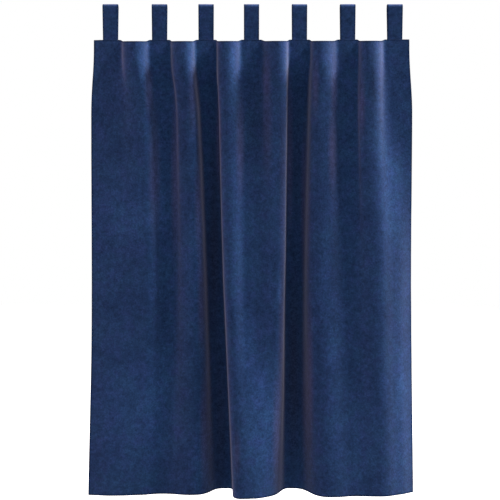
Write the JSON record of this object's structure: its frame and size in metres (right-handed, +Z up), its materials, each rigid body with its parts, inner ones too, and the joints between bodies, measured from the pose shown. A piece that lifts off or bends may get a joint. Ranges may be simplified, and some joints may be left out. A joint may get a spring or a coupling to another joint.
{
  "type": "tab top velvet curtain",
  "caption": "Velvet curtain panel that hangs from fabric tabs in a few soft vertical folds, with a sewn heading strip behind its top edge.",
  "frame": {"origin": "on the line of the curtain rod, in the loop of the middle tab", "axes": "+X along the rod to the viewer's right, -Y out of the face of the cloth, +Z up"},
  "size_m": [1.1597, 0.126, 1.7461],
  "materials": {
    "velvet_face": "navy velvet pile, matt with a soft sheen",
    "velvet_facing": "navy velvet facing strip",
    "velvet_strap": "navy velvet strap, doubled"
  },
  "bodies": {
    "root": {"panel": "velvet_face", "heading": "velvet_facing", "tab_1": "velvet_strap", "tab_2": "velvet_strap", "tab_3": "velvet_strap", "tab_4": "velvet_strap", "tab_5": "velvet_strap", "tab_6": "velvet_strap", "tab_7": "velvet_strap"}
  },
  "joints": []
}
